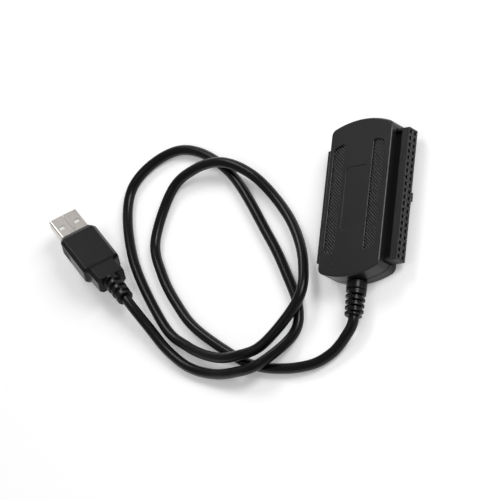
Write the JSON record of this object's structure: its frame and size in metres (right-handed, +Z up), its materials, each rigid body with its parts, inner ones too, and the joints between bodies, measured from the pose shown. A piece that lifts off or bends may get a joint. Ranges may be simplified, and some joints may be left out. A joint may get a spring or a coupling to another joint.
{
  "type": "usb to sata adapter",
  "caption": "Flat bow-ended adapter head with drive sockets on both sides and a serial drive header, on a short free cord with a moulded plug.",
  "frame": {"origin": "middle of the underside of the adapter head", "axes": "+Y from the cord's end of the head to its far end, +X out of the wider side socket, +Z up through the roof"},
  "size_m": [0.1746, 0.1002, 0.0141],
  "materials": {
    "housing": "satin moulded black plastic",
    "sockets": "moulded black glass-filled plastic",
    "board": "green solder mask",
    "gold_contacts": "gold plated",
    "chip_cases": "moulded epoxy",
    "bright_metal": "nickel plated steel",
    "ceramic": "fired ceramic",
    "clear_plastic": "clear moulded plastic",
    "cord": "black flexible vinyl",
    "plug_moulding": "satin moulded black vinyl",
    "tongue_plastic": "white moulded plastic",
    "wire_green": "coloured vinyl insulation",
    "wire_white": "coloured vinyl insulation",
    "wire_red": "coloured vinyl insulation"
  },
  "bodies": {
    "root": {"upper_shell": "housing", "lower_shell": "housing", "circuit_board": "board", "drive_socket_40": "sockets", "drive_socket_44": "sockets", "serial_header": "sockets", "serial_contact_1": "gold_contacts", "serial_contact_2": "gold_contacts", "serial_contact_3": "gold_contacts", "serial_contact_4": "gold_contacts", "serial_contact_5": "gold_contacts", "serial_contact_6": "gold_contacts", "serial_contact_7": "gold_contacts", "bridge_chip": "chip_cases", "memory_chip": "chip_cases", "voltage_regulator": "chip_cases", "crystal": "bright_metal", "capacitor_1": "ceramic", "capacitor_2": "ceramic", "capacitor_3": "ceramic", "capacitor_4": "ceramic", "indicator_lamp": "clear_plastic", "light_pipe": "clear_plastic", "strain_relief": "cord", "cord": "cord", "wire_black": "cord", "wire_green": "wire_green", "wire_white": "wire_white", "wire_red": "wire_red", "plug_grip": "plug_moulding", "plug_shell": "bright_metal", "plug_tongue": "tongue_plastic", "plug_contact_1": "gold_contacts", "plug_contact_2": "gold_contacts", "plug_contact_3": "gold_contacts", "plug_contact_4": "gold_contacts"}
  },
  "joints": []
}
